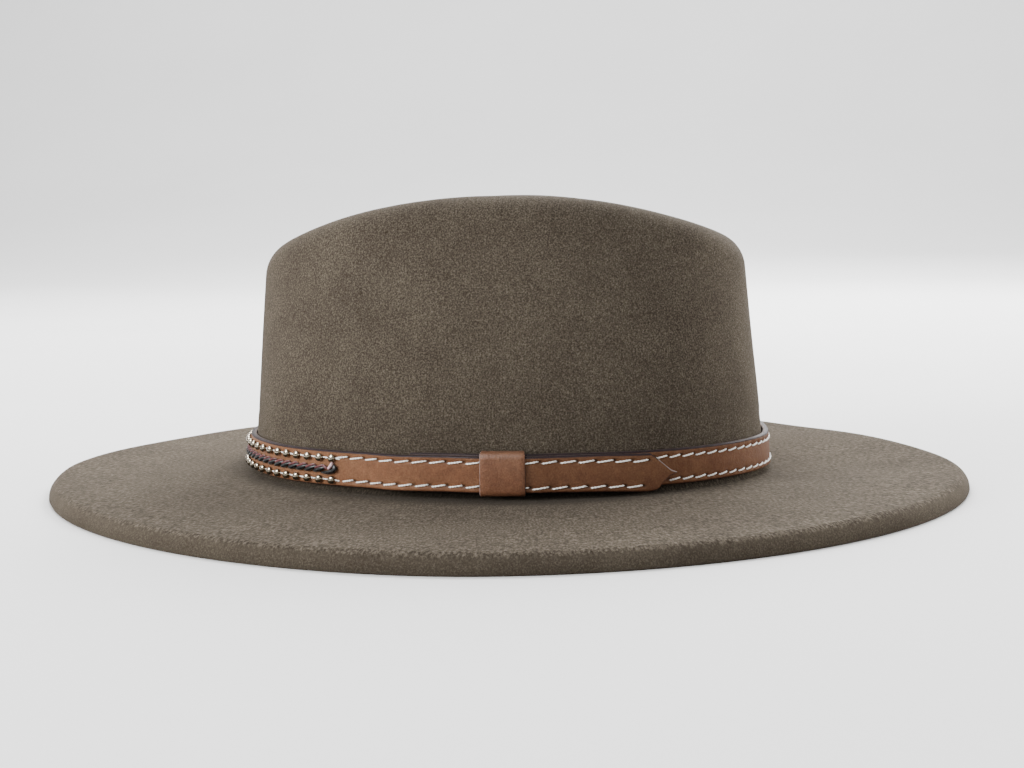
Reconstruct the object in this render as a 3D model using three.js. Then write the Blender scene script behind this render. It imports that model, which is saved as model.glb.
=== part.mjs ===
// A wide-brimmed felt hat with a stitched leather strap round the foot of its crown.
// Millimetres, +Z up. The front of the hat is -Y and the wearer's left is +X.
// The hat stands on the turned-down edge of its brim, at z = 0.

import * as THREE from "three";

// Ovals in plan: half length along Y, half width along X, power of the superellipse,
// where its centre lies along Y, and how much wider it is at the back than at the front.
const RIM = { length: 187, width: 169, power: 1.86, centre: 0, taper: 0 };
const CROWN_FOOT = { length: 104.4, width: 84.8, power: 2.1, centre: 2, taper: 0 };
const SHOULDER = { length: 97.7, width: 64, power: 2.15, centre: 0.9, taper: 0.08 };
const STRAP_BACK = { length: 104.7, width: 85.5, power: 2.1, centre: 2, taper: 0 };

// Felt shell. The foot of the crown, and the strap with it, dips at the front and the back.
const FELT = 2.5;
const ROLL = { reach: 5.2, drop: 6, crest: 7 };
const EDGE = { flatFrom: 0.5, flatTo: 2 };
const BRIM_INNER_HEIGHT = 8.5;
const SIDE_LIFT = 0.4;
const DIP = { front: 0.5, back: 1.7, power: 12 };
const BREAK_RADIUS = 2.5;

// The wall leans in and turns over a rounded shoulder to the ridge round the crown's top.
// At the ends (front and back) and at the sides the lean and the rounding differ.
// Towards the back the ridge is a little higher on the wearer's left than on the right.
const LEAN = { ends: 4.6, sides: 18 };
const ROUNDING = { ends: 15, sides: 12 };
const WALL_BULGE = 1.5;
const RIDGE = { top: 117.5, peak: 3.5, fall: 21.1, reach: 92, power: 2.23 };
const RIDGE_TILT = { height: 1.8, from: 5, to: 75 };
const CREASE = { floor: 91, edge: 2.2 };

// Steps of the felt's surface
const AROUND = 56;
const ROLL_STEPS = 4;
const BRIM_STEPS = 5;
const BREAK_STEPS = 2;
const WALL_STEPS = 6;
const SHOULDER_STEPS = 4;
const CREASE_RINGS = [0.88, 0.74, 0.58, 0.4, 0.2];

// Strap, once round with its ends overlapped. Places along it are lengths from the front
// of the hat, positive towards the wearer's left, measured round the strap's back.
const STRAP = { thick: 2.3, high: 13.1, highAtTip: 13.9, middle: 17.3, chamfer: 0.6 };
const STRAP_LEAN = { slope: 0.055, foot: 10.7 };
const RIDE_UP = { height: 1.45, top: 140, front: 85, back: 125 };
const STRAP_ENDS = { inner: 123.8, outer: 220.7 };
const LAYER_GAP = 0.3;
const CLIMB = 18;
const TIP_DROP = { depth: 1.1, length: 20 };
const OVERLAP_DROP = { depth: 0.45, length: 45 };
const STRAP_STEP = 9;

// The outer end's pointed outline: distance back from the point, and the half heights there.
const TIP = [
  { back: 9.9, up: 6.95, down: 6.95 },
  { back: 8.2, up: 5.75, down: 6.6 },
  { back: 6.9, up: 4.8, down: 5.6 },
  { back: 6.1, up: 4.15, down: 4.2 },
  { back: 4.6, up: 2.95, down: 2.8 },
  { back: 2.4, up: 1.2, down: 1.15 },
  { back: 0, up: 0.3, down: 0.3 },
];

// Keeper loop round both layers
const KEEPER = { from: 150.4, wide: 14.8, thick: 1, gap: 0.25, steps: 3, corner: 0.6 };
const KEEPER_ROOM = 1.3;
const KEEPER_RAMP = 14;

// Beads and lace round the front
const BEADS = { count: 32, first: -93.9, pitch: 6, deep: 0.8, high: 1.4, thread: 0.45, sides: 6 };
const BEAD_ROWS = { spacing: 7.85, lift: -0.08 };
const LACE = { from: -96, to: 93.6, high: 3.4, thick: 1.4, lift: -0.25, steps: 32 };
const TRIM_GAP = 0.3;

const MATERIALS = {
  felt: { color: 0x6f6556, roughness: 0.95, metalness: 0 },
  strap: { color: 0x8a5f45, roughness: 0.55, metalness: 0 },
  keeper: { color: 0x8d6049, roughness: 0.5, metalness: 0 },
  bead: { color: 0xc9c5ba, roughness: 0.25, metalness: 1 },
  lace: { color: 0x3a2a2a, roughness: 0.6, metalness: 0 },
};

const radians = THREE.MathUtils.degToRad;
const mix = THREE.MathUtils.lerp;
const smooth = THREE.MathUtils.smoothstep;

// Numbers from a to b in equal steps, both included
function series(a, b, steps) {
  return Array.from({ length: steps + 1 }, (_, i) => mix(a, b, i / steps));
}

function mixOval(a, b, f) {
  const mixed = {};
  for (const key of Object.keys(a)) mixed[key] = mix(a[key], b[key], f);
  return mixed;
}

function grown(oval, length, width = length) {
  return { ...oval, length: oval.length + length, width: oval.width + width };
}

function scaled(oval, factor) {
  return { ...oval, length: oval.length * factor, width: oval.width * factor };
}

// Point of an oval at an angle from the front, turning towards +X
function ovalPoint(oval, angle) {
  const c = Math.cos(angle);
  const s = Math.sin(angle);
  const size = (Math.abs(c) ** oval.power + Math.abs(s) ** oval.power) ** (-1 / oval.power);
  const forward = -c * size;
  const across = s * size * (1 + oval.taper * forward);
  return new THREE.Vector2(oval.width * across, oval.length * forward + oval.centre);
}

const ANGLES = series(0, 2 * Math.PI, AROUND).slice(0, AROUND);
const sideways = (angle) => Math.sin(angle) ** 2;

function dipAt(angle) {
  const forward = Math.cos(angle);
  return (forward > 0 ? DIP.front : DIP.back) * Math.abs(forward) ** DIP.power;
}

const innerHeight = (angle) => BRIM_INNER_HEIGHT + SIDE_LIFT * sideways(angle) - dipAt(angle);

function ring(oval, heightAt) {
  return ANGLES.map((angle) => {
    const p = ovalPoint(oval, angle);
    return new THREE.Vector3(p.x, p.y, heightAt(angle));
  });
}

// Closed solid from rows of points. Each row is a closed loop. The first and last rows
// are joined to each other, or each is closed by a fan.
function solidFromRows(rows, joinEnds = false) {
  const points = rows.flat();
  const columns = rows[0].length;
  const triangles = [];
  const bands = joinEnds ? rows.length : rows.length - 1;
  for (let r = 0; r < bands; r++) {
    const next = (r + 1) % rows.length;
    for (let c = 0; c < columns; c++) {
      const d = (c + 1) % columns;
      const corners = [r * columns + c, r * columns + d, next * columns + d, next * columns + c];
      triangles.push([corners[0], corners[1], corners[2]]);
      triangles.push([corners[0], corners[2], corners[3]]);
    }
  }
  if (!joinEnds) {
    addFan(points, triangles, 0, columns, true);
    addFan(points, triangles, (rows.length - 1) * columns, columns, false);
  }
  return toGeometry(points, triangles);
}

function addFan(points, triangles, start, columns, reversed) {
  const middle = new THREE.Vector3();
  for (let c = 0; c < columns; c++) middle.addScaledVector(points[start + c], 1 / columns);
  points.push(middle);
  for (let c = 0; c < columns; c++) {
    const pair = [start + c, start + ((c + 1) % columns)];
    if (reversed) pair.reverse();
    triangles.push([...pair, points.length - 1]);
  }
}

function toGeometry(points, triangles) {
  let volume = 0;
  for (const [a, b, c] of triangles) {
    volume += points[a].dot(new THREE.Vector3().crossVectors(points[b], points[c]));
  }
  const outward = volume > 0 ? triangles : triangles.map(([a, b, c]) => [a, c, b]);
  const geometry = new THREE.BufferGeometry().setFromPoints(points);
  geometry.setIndex(outward.flat());
  geometry.computeVertexNormals();
  return geometry;
}

// Felt: the outer skin from the rim's edge over the brim and up the wall to the crease

function ridgeHeight(angle) {
  const back = ovalPoint(ridgeOval(), angle).y;
  const fall = RIDGE.fall * (Math.abs(back - RIDGE.peak) / RIDGE.reach) ** RIDGE.power;
  const tilt = RIDGE_TILT.height * Math.sin(angle) * smooth(back, RIDGE_TILT.from, RIDGE_TILT.to);
  return RIDGE.top - fall + tilt;
}

function ridgeOval() {
  const length = -ROUNDING.ends * Math.cos(radians(LEAN.ends));
  const width = -ROUNDING.sides * Math.cos(radians(LEAN.sides));
  return grown(SHOULDER, length, width);
}

function rollRings() {
  return series(0, 90, ROLL_STEPS).map((turn) => {
    const a = radians(turn);
    const height = ROLL.crest - ROLL.drop * (1 - Math.sin(a));
    return ring(grown(RIM, ROLL.reach * (Math.cos(a) - 1)), () => height);
  });
}

function brimRings() {
  const outer = grown(RIM, -ROLL.reach);
  const inner = grown(CROWN_FOOT, BREAK_RADIUS);
  return series(0, 1, BRIM_STEPS).slice(1).map((f) => {
    return ring(mixOval(outer, inner, f), (angle) => mix(ROLL.crest, innerHeight(angle), f));
  });
}

function breakRings() {
  return series(0, 90, BREAK_STEPS).slice(1).map((turn) => {
    const a = radians(turn);
    const rise = BREAK_RADIUS * (1 - Math.cos(a));
    const oval = grown(CROWN_FOOT, BREAK_RADIUS * (1 - Math.sin(a)));
    return ring(oval, (angle) => innerHeight(angle) + rise);
  });
}

const leanAt = (angle) => radians(mix(LEAN.ends, LEAN.sides, sideways(angle)));
const roundingAt = (angle) => mix(ROUNDING.ends, ROUNDING.sides, sideways(angle));

function wallRings() {
  const foot = (angle) => innerHeight(angle) + BREAK_RADIUS;
  const head = (angle) => ridgeHeight(angle) - roundingAt(angle) * (1 - Math.sin(leanAt(angle)));
  return series(0, 1, WALL_STEPS).slice(1).map((f) => {
    const oval = mixOval(CROWN_FOOT, SHOULDER, f);
    oval.width = mix(CROWN_FOOT.width, SHOULDER.width, f ** WALL_BULGE);
    return ring(oval, (angle) => mix(foot(angle), head(angle), f));
  });
}

function shoulderRings() {
  return series(0, 1, SHOULDER_STEPS).slice(1).map((f) => {
    const reach = (part) => ROUNDING[part] * Math.cos(mix(radians(LEAN[part]), Math.PI / 2, f));
    const oval = grown(ridgeOval(), reach("ends"), reach("sides"));
    return ring(oval, (angle) => {
      const turn = mix(leanAt(angle), Math.PI / 2, f);
      return ridgeHeight(angle) - roundingAt(angle) * (1 - Math.sin(turn));
    });
  });
}

function creaseRings() {
  return CREASE_RINGS.map((size) => {
    const rise = 1 - (1 - size ** CREASE.edge) ** 2;
    return ring(scaled(ridgeOval(), size), (angle) => mix(CREASE.floor, ridgeHeight(angle), rise));
  });
}

// Each point moved into the felt, square to the skin
function innerSkin(rows) {
  return rows.map((row, r) => row.map((point, c) => {
    const around = new THREE.Vector3().subVectors(
      row[(c + 1) % row.length],
      row[(c + row.length - 1) % row.length],
    );
    const along = new THREE.Vector3().subVectors(
      rows[Math.min(r + 1, rows.length - 1)][c],
      rows[Math.max(r - 1, 0)][c],
    );
    const inward = new THREE.Vector3().crossVectors(along, around).setLength(FELT);
    return new THREE.Vector3().addVectors(point, inward);
  }));
}

function feltBody() {
  const skin = [
    ...rollRings(), ...brimRings(), ...breakRings(), ...wallRings(), ...shoulderRings(), ...creaseRings(),
  ];
  const edge = [
    ring(grown(RIM, -EDGE.flatTo), () => 0),
    ring(grown(RIM, -EDGE.flatFrom), () => 0),
  ];
  return solidFromRows([...innerSkin(skin).reverse(), ...edge, ...skin]);
}

// Strap: a table of the length round its back face turns a length into an angle

const MARKS = 720;
const TURN = 2 * Math.PI;

function lengthMarks() {
  const marks = [0];
  let last = ovalPoint(STRAP_BACK, 0);
  for (let i = 1; i <= MARKS; i++) {
    const here = ovalPoint(STRAP_BACK, (TURN * i) / MARKS);
    marks.push(marks[i - 1] + here.distanceTo(last));
    last = here;
  }
  return marks;
}

const LENGTHS = lengthMarks();
const ROUND = LENGTHS[MARKS];

function angleAt(length) {
  const turns = Math.floor(length / ROUND);
  const rest = length - turns * ROUND;
  let i = 1;
  while (LENGTHS[i] < rest) i++;
  const f = (rest - LENGTHS[i - 1]) / (LENGTHS[i] - LENGTHS[i - 1]);
  return TURN * (turns + (i - 1 + f) / MARKS);
}

// Point at a length along the strap, a distance out from its back and a height.
// The strap leans in with the felt behind it.
function strapPoint(length, out, height) {
  const lean = STRAP_LEAN.slope * (height - STRAP_LEAN.foot);
  const p = ovalPoint(grown(STRAP_BACK, out - lean), angleAt(length));
  return new THREE.Vector3(p.x, p.y, height);
}

// The keeper's back leaf lies between felt and strap, so the strap stands off there
// and rides up a little
function fromKeeper(length) {
  const place = length > ROUND ? length - ROUND : length;
  return Math.max(KEEPER.from - place, place - KEEPER.from - KEEPER.wide, 0);
}

const standOff = (length) => KEEPER_ROOM * (1 - smooth(fromKeeper(length), 0, KEEPER_RAMP));

function middleAt(length) {
  const place = length > ROUND ? length - ROUND : length;
  const reach = place < RIDE_UP.top ? RIDE_UP.front : RIDE_UP.back;
  const rise = RIDE_UP.height * (1 - smooth(Math.abs(place - RIDE_UP.top), 0, reach));
  return STRAP.middle + rise - dipAt(angleAt(place));
}

// The outer layer lies a little lower than the inner one, and its point lower still
function dropAt(length) {
  const overlap = ROUND + STRAP_ENDS.inner;
  const taper = ROUND + STRAP_ENDS.outer - TIP[0].back;
  const layer = OVERLAP_DROP.depth * smooth(length, overlap - OVERLAP_DROP.length, overlap);
  return layer + TIP_DROP.depth * smooth(length, taper - TIP_DROP.length, taper);
}

// The strap climbs over its own inner end before it reaches it
function layerOut(length) {
  const overlap = ROUND + STRAP_ENDS.inner;
  return (STRAP.thick + LAYER_GAP) * smooth(length, overlap - 2 - CLIMB, overlap - 2);
}

function strapSection(length, up, down, middle) {
  const out = standOff(length) + layerOut(length);
  const { thick, chamfer } = STRAP;
  const corner = Math.min(chamfer, up / 2);
  const outline = [
    [0, up - corner], [corner, up], [thick - corner, up], [thick, up - corner],
    [thick, corner - down], [thick - corner, -down], [corner, -down], [0, corner - down],
  ];
  return outline.map(([x, z]) => strapPoint(length, out + x, middle + z));
}

function strap() {
  const point = ROUND + STRAP_ENDS.outer;
  const taperFrom = point - TIP[0].back;
  const steps = Math.round((taperFrom - STRAP_ENDS.inner) / STRAP_STEP);
  const widenFrom = ROUND + KEEPER.from + KEEPER.wide;
  const half = (length) => mix(STRAP.high, STRAP.highAtTip, smooth(length, widenFrom, taperFrom)) / 2;
  const middle = (length) => middleAt(length) - dropAt(length);
  const rows = series(STRAP_ENDS.inner, taperFrom, steps).slice(0, steps)
    .map((length) => strapSection(length, half(length), half(length), middle(length)));
  for (const { back, up, down } of TIP) {
    rows.push(strapSection(point - back, up, down, middle(point - back)));
  }
  return solidFromRows(rows);
}

// Keeper: a flat band of leather taken round both layers. Each row is the band's own
// section at one corner of its loop.
function keeper() {
  const { from, wide, thick, gap, steps, corner } = KEEPER;
  const halfHigh = (STRAP.high + OVERLAP_DROP.depth) / 2;
  const inner = { back: -gap, front: 2 * STRAP.thick + LAYER_GAP + gap, up: halfHigh + gap };
  const middle = (length) => middleAt(length) - OVERLAP_DROP.depth / 2;
  const places = series(from, from + wide, steps);
  const turns = [
    ["back", 1, 0], ["back", 1, 1], ["front", 1, 1], ["front", 1, 0],
    ["front", -1, 0], ["front", -1, 1], ["back", -1, 1], ["back", -1, 0],
  ];
  const rows = turns.map(([side, upward, bevel]) => {
    const outward = side === "front" ? 1 : -1;
    const at = (length, layer) => {
      const cut = layer > 0 ? corner : 0;
      const out = inner[side] + outward * (layer - bevel * cut);
      const height = upward * (inner.up + layer - (1 - bevel) * cut);
      return strapPoint(length, standOff(length) + out, middle(length) + height);
    };
    return [...places.map((p) => at(p, thick)), ...places.toReversed().map((p) => at(p, 0))];
  });
  return solidFromRows(rows, true);
}

// Trim round the front, on the strap's outer face

function beadRow(side) {
  const out = STRAP.thick + TRIM_GAP + BEADS.deep;
  const section = (length, deep, high) => {
    const middle = middleAt(length) + BEAD_ROWS.lift + (side * BEAD_ROWS.spacing) / 2;
    return Array.from({ length: BEADS.sides }, (_, i) => {
      const turn = (TURN * i) / BEADS.sides;
      return strapPoint(length, out + deep * Math.cos(turn), middle + high * Math.sin(turn));
    });
  };
  const rows = [];
  for (let i = 0; i < BEADS.count; i++) {
    const place = BEADS.first + i * BEADS.pitch;
    rows.push(section(place - BEADS.pitch / 2, BEADS.thread, BEADS.thread));
    rows.push(section(place, BEADS.deep, BEADS.high));
  }
  rows.push(section(BEADS.first + (BEADS.count - 0.5) * BEADS.pitch, BEADS.thread, BEADS.thread));
  return solidFromRows(rows);
}

function lace() {
  const near = STRAP.thick + TRIM_GAP;
  const rim = LACE.thick / 2;
  const outline = [
    [0, LACE.high / 2 - rim / 2], [rim, LACE.high / 2], [LACE.thick, LACE.high / 4],
    [LACE.thick, -LACE.high / 4], [rim, -LACE.high / 2], [0, rim / 2 - LACE.high / 2],
  ];
  const rows = series(LACE.from, LACE.to, LACE.steps).map((length) => {
    const middle = middleAt(length) + LACE.lift;
    return outline.map(([x, z]) => strapPoint(length, near + x, middle + z));
  });
  return solidFromRows(rows);
}

function piece(name, geometry, look) {
  const mesh = new THREE.Mesh(geometry, new THREE.MeshStandardMaterial(MATERIALS[look]));
  mesh.name = name;
  return mesh;
}

const hat = new THREE.Group();
hat.add(
  piece("felt_body", feltBody(), "felt"),
  piece("strap", strap(), "strap"),
  piece("keeper", keeper(), "keeper"),
  piece("bead_row_upper", beadRow(1), "bead"),
  piece("bead_row_lower", beadRow(-1), "bead"),
  piece("lace", lace(), "lace"),
);

export default hat;
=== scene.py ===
"""A wide-brimmed felt hat with a stitched leather strap, on a plain pale floor.

Sizes are in millimetres until a mesh is made. The front of the hat is -Y, the wearer's
left is +X and the brim's edge stands on z = 0.
"""

from collections import namedtuple
from math import cos, pi, radians, sin

import bpy
import numpy as np
from mathutils import Matrix, Vector, noise


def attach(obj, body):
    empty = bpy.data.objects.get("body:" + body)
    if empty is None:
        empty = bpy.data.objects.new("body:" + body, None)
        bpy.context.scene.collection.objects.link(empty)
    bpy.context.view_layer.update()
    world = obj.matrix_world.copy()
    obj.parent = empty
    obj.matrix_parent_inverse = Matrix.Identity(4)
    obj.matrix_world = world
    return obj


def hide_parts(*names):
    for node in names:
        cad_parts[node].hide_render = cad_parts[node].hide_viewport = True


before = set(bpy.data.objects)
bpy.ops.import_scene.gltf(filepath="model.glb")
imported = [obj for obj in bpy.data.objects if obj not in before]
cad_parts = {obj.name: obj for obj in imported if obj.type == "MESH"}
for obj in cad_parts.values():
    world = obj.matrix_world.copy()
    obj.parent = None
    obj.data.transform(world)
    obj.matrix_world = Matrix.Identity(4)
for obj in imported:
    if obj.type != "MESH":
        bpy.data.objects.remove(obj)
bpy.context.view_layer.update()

MM = 0.001

# Ovals in plan: half length along Y, half width along X, power of the superellipse,
# centre along Y, and how much wider the oval is at the back than at the front
Oval = namedtuple("Oval", "length width power centre taper", defaults=(0.0,))
RIM = Oval(187, 169, 1.86, 0)
CROWN_FOOT = Oval(104.4, 84.8, 2.1, 2)
SHOULDER = Oval(97.7, 64, 2.15, 0.9, 0.08)
STRAP_BACK = Oval(104.5, 85.5, 2.1, 2)

# Felt, from the brim's edge inwards and up the crown
FELT = 2.5
ROLL_REACH, ROLL_DROP, BRIM_CREST = 5.2, 6.0, 7.0
EDGE_FLAT_FROM, EDGE_FLAT_TO = 0.5, 2.0
BRIM_INNER_HEIGHT, SIDE_LIFT, BREAK_RADIUS = 8.5, 0.4, 2.5
DIP_FRONT, DIP_BACK, DIP_POWER = 0.5, 1.7, 12
LEAN_ENDS, LEAN_SIDES = radians(4.6), radians(18)
ROUND_ENDS, ROUND_SIDES = 15.0, 12.0
WALL_BULGE = 1.5
RIDGE_TOP, RIDGE_PEAK, RIDGE_FALL, RIDGE_REACH, RIDGE_POWER = 117.5, 3.5, 21.1, 92.0, 2.23
RIDGE_TILT, TILT_FROM, TILT_TO = 1.8, 5.0, 75.0
CREASE_FLOOR, CREASE_EDGE, CREASE_SMALLEST = 91.0, 2.2, 0.02

# The felt's unevenness, and the heights and reaches over which it sets in. Reach is 1 at
# the crown's foot
FELT_WAVE, WAVE_SCALE = 0.6, 0.022
WAVE_ABOVE_EDGE, WAVE_ON_CROWN, WAVE_BEYOND_STRAP = (2, 6), (30, 45), (1.12, 1.3)

# Strap: places round it are lengths from the front, towards +X, measured along its back
STRAP_THICK, STRAP_HALF, STRAP_HALF_AT_TIP = 2.3, 6.55, 6.95
STRAP_MIDDLE = 17.3
STRAP_LEAN, STRAP_FOOT = 0.07, 10.7
RISE, RISE_TOP, RISE_FRONT, RISE_BACK = 1.45, 140.0, 85.0, 125.0
INNER_END, OUTER_END = 123.8, 220.7
LAYER_GAP, CLIMB, CLIMB_BEFORE_END = 0.3, 18.0, 2.0
OVERLAP_DROP, DROP_LENGTH = 0.45, 45.0
TIP_DROP, TIP_DROP_LENGTH, TIP_LENGTH, POINT_DROP = 0.6, 20.0, 9.9, 0.5
STRAP_STEP, TIP_STEPS = 0.75, 30

# Keeper
KEEPER_FROM, KEEPER_TO, KEEPER_THICK = 150.1, 165.6, 0.95
KEEPER_MIDDLE = (KEEPER_FROM + KEEPER_TO) / 2
KEEPER_ROOM, KEEPER_RAMP = 1.3, 14.0
KEEPER_GAP, KEEPER_INNER_CORNER, KEEPER_CORNER, KEEPER_BULGE = 0.2, 0.6, 2.4, 0.35
KEEPER_STEPS, KEEPER_FRONT_FROM = 15, 2.0

# Camera and the photograph's frame
PHOTO_WIDTH, SENSOR_WIDTH = 1024, 36
CAMERA_AT, CAMERA_FOCAL_PX = (650.0, 3.54, 117.3), 1585.3
CAMERA_YAW, CAMERA_PITCH, CAMERA_ROLL = radians(6.02), 0.118, -0.015
CLIP_FROM, CLIP_TO = 0.02, 30


# Numbers and ovals

def mix(a, b, f):
    return a + (b - a) * f


def smooth(x, low, high):
    """0 up to low, 1 from high, and a soft step between."""
    f = np.clip((x - low) / (high - low), 0, 1)
    return f * f * (3 - 2 * f)


def mix_oval(a, b, f):
    return Oval(*(mix(p, q, f) for p, q in zip(a, b)))


def grown(oval, length, width=None):
    width = length if width is None else width
    return oval._replace(length=oval.length + length, width=oval.width + width)


def superellipse(angle, power):
    """Forward and sideways parts of a superellipse of size 1, at an angle from the front."""
    c, s = np.cos(angle), np.sin(angle)
    size = (np.abs(c) ** power + np.abs(s) ** power) ** (-1 / power)
    return c * size, s * size


def oval_point(oval, angle):
    """X and Y of an oval at an angle from the front, turning towards +X."""
    forward, across = superellipse(angle, oval.power)
    across = across * (1 - oval.taper * forward)
    return oval.width * across, oval.centre - oval.length * forward


# Meshes: a part is (points, faces), and several parts join into one

def grid(rows, wrap_rows=False):
    """Quads over rows of points, each row a closed loop."""
    rows = np.asarray(rows, float)
    count, columns = rows.shape[:2]
    bands = count if wrap_rows else count - 1
    r = np.arange(bands)[:, None]
    c = np.arange(columns)[None, :]
    after, beside = (r + 1) % count, (c + 1) % columns
    corners = [r * columns + c, r * columns + beside, after * columns + beside, after * columns + c]
    faces = np.stack(np.broadcast_arrays(*corners), -1).reshape(-1, 4)
    return rows.reshape(-1, 3), faces.tolist()


def capped(rows):
    """The same with a fan over the first and the last row."""
    points, faces = grid(rows)
    columns = len(rows[0])
    last = len(points) - columns
    middles = [np.mean(rows[0], axis=0), np.mean(rows[-1], axis=0)]
    for c in range(columns):
        beside = (c + 1) % columns
        faces.append([beside, c, len(points)])
        faces.append([last + c, last + beside, len(points) + 1])
    return np.vstack([points, middles]), faces


def joined(parts):
    points, faces, start = [], [], 0
    for part_points, part_faces in parts:
        points.append(part_points)
        faces.extend([[i + start for i in face] for face in part_faces])
        start += len(part_points)
    return np.vstack(points), faces


def volume(points, faces):
    """Six times the volume, and negative where the faces look inwards."""
    total = 0.0
    for face in faces:
        a, b, c = points[face[0]], points[face[1]], points[face[2]]
        total += np.dot(a, np.cross(b, c))
        if len(face) == 4:
            total += np.dot(a, np.cross(c, points[face[3]]))
    return total


def make_piece(name, part, material, replaces=None):
    points, faces = part
    if volume(points, faces) < 0:
        faces = [face[::-1] for face in faces]
    mesh = bpy.data.meshes.new(name)
    mesh.from_pydata((points * MM).tolist(), [], faces)
    mesh.polygons.foreach_set("use_smooth", [True] * len(mesh.polygons))
    mesh.materials.append(material)
    mesh.update()
    piece = bpy.data.objects.new(name, mesh)
    bpy.context.scene.collection.objects.link(piece)
    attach(piece, "root")
    if replaces:
        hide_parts(replaces)
    return piece


def add_mask(piece, name, values, at_ends=None):
    """A number from 0 to 1 for each point, which a material can read. The middles of a
    capped part's two ends come last and take at_ends."""
    values = np.ravel(np.asarray(values, float))
    if at_ends is not None:
        values = np.append(values, [at_ends, at_ends])
    attribute = piece.data.attributes.new(name, "FLOAT", "POINT")
    attribute.data.foreach_set("value", values)


# Felt shell

AROUND = 320
ANGLES = np.linspace(0, 2 * pi, AROUND, endpoint=False)
SIDEWAYS = np.sin(ANGLES) ** 2
RIDGE_OVAL = grown(SHOULDER, -ROUND_ENDS * cos(LEAN_ENDS), -ROUND_SIDES * cos(LEAN_SIDES))
WALL_LEAN = mix(LEAN_ENDS, LEAN_SIDES, SIDEWAYS)
ROUNDING = mix(ROUND_ENDS, ROUND_SIDES, SIDEWAYS)
INSIDE_COARSER = 3


def ring(oval, height):
    x, y = oval_point(oval, ANGLES)
    return np.stack([x, y, np.broadcast_to(height, x.shape)], -1)


def dip_at(angle):
    """How far felt and strap dip at the front and at the back."""
    forward = np.cos(angle)
    return np.where(forward > 0, DIP_FRONT, DIP_BACK) * np.abs(forward) ** DIP_POWER


INNER_HEIGHT = BRIM_INNER_HEIGHT + SIDE_LIFT * SIDEWAYS - dip_at(ANGLES)


def ridge_height():
    back = oval_point(RIDGE_OVAL, ANGLES)[1]
    fall = RIDGE_FALL * (np.abs(back - RIDGE_PEAK) / RIDGE_REACH) ** RIDGE_POWER
    return RIDGE_TOP - fall + RIDGE_TILT * np.sin(ANGLES) * smooth(back, TILT_FROM, TILT_TO)


def roll_rings(steps=12):
    for turn in np.linspace(0, pi / 2, steps + 1):
        height = BRIM_CREST - ROLL_DROP * (1 - sin(turn))
        yield ring(grown(RIM, ROLL_REACH * (cos(turn) - 1)), height)


def brim_rings(steps=24):
    outer, inner = grown(RIM, -ROLL_REACH), grown(CROWN_FOOT, BREAK_RADIUS)
    for f in np.linspace(0, 1, steps + 1)[1:]:
        yield ring(mix_oval(outer, inner, f), mix(BRIM_CREST, INNER_HEIGHT, f))


def break_rings(steps=6):
    """The bend from the brim up into the crown."""
    for turn in np.linspace(0, pi / 2, steps + 1)[1:]:
        height = INNER_HEIGHT + BREAK_RADIUS * (1 - cos(turn))
        yield ring(grown(CROWN_FOOT, BREAK_RADIUS * (1 - sin(turn))), height)


def wall_rings(steps=36):
    foot = INNER_HEIGHT + BREAK_RADIUS
    head = ridge_height() - ROUNDING * (1 - np.sin(WALL_LEAN))
    for f in np.linspace(0, 1, steps + 1)[1:]:
        width = mix(CROWN_FOOT.width, SHOULDER.width, f ** WALL_BULGE)
        yield ring(mix_oval(CROWN_FOOT, SHOULDER, f)._replace(width=width), mix(foot, head, f))


def shoulder_rings(steps=14):
    for f in np.linspace(0, 1, steps + 1)[1:]:
        length = ROUND_ENDS * cos(mix(LEAN_ENDS, pi / 2, f))
        width = ROUND_SIDES * cos(mix(LEAN_SIDES, pi / 2, f))
        height = ridge_height() - ROUNDING * (1 - np.sin(mix(WALL_LEAN, pi / 2, f)))
        yield ring(grown(RIDGE_OVAL, length, width), height)


def crease_rings(steps=22):
    for size in np.linspace(1, CREASE_SMALLEST, steps + 1)[1:]:
        rise = 1 - (1 - size ** CREASE_EDGE) ** 2
        oval = RIDGE_OVAL._replace(length=RIDGE_OVAL.length * size, width=RIDGE_OVAL.width * size)
        yield ring(oval, mix(CREASE_FLOOR, ridge_height(), rise))


def skin_normals(rows):
    around = np.roll(rows, -1, axis=1) - np.roll(rows, 1, axis=1)
    along = np.gradient(rows, axis=0)
    normals = np.cross(around, along)
    return normals / np.linalg.norm(normals, axis=-1, keepdims=True)


def wavy(rows, normals):
    """Slight unevenness of hand-shaped felt, none at the resting edge or under the strap."""
    waves = np.array([noise.noise(Vector(p) * WAVE_SCALE) for p in rows.reshape(-1, 3)])
    waves = waves.reshape(rows.shape[:2])
    x, y, height = rows[..., 0], rows[..., 1], rows[..., 2]
    reach = np.hypot(x / CROWN_FOOT.width, y / CROWN_FOOT.length)
    low = height < WAVE_ON_CROWN[0]
    free = smooth(height, *WAVE_ABOVE_EDGE) * np.where(low, smooth(reach, *WAVE_BEYOND_STRAP), 1)
    free = np.maximum(free, smooth(height, *WAVE_ON_CROWN))
    return rows + normals * (FELT_WAVE * waves * free)[..., None]


def felt_shell():
    """The shell, and how many of its first points are on the inside."""
    skin = np.array([
        *roll_rings(), *brim_rings(), *break_rings(), *wall_rings(), *shoulder_rings(),
        *crease_rings(),
    ])
    outward = skin_normals(skin)
    skin = wavy(skin, outward)
    inside = (skin - outward * FELT)[::-INSIDE_COARSER]
    edge = np.array([ring(grown(RIM, -EDGE_FLAT_TO), 0), ring(grown(RIM, -EDGE_FLAT_FROM), 0)])
    return capped(np.concatenate([inside, edge, skin])), len(inside) * AROUND


# Places on the strap

MARKS = np.linspace(0, 2 * pi, 1441)


def length_table():
    x, y = oval_point(STRAP_BACK, MARKS)
    return np.concatenate([[0], np.cumsum(np.hypot(np.diff(x), np.diff(y)))])


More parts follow.
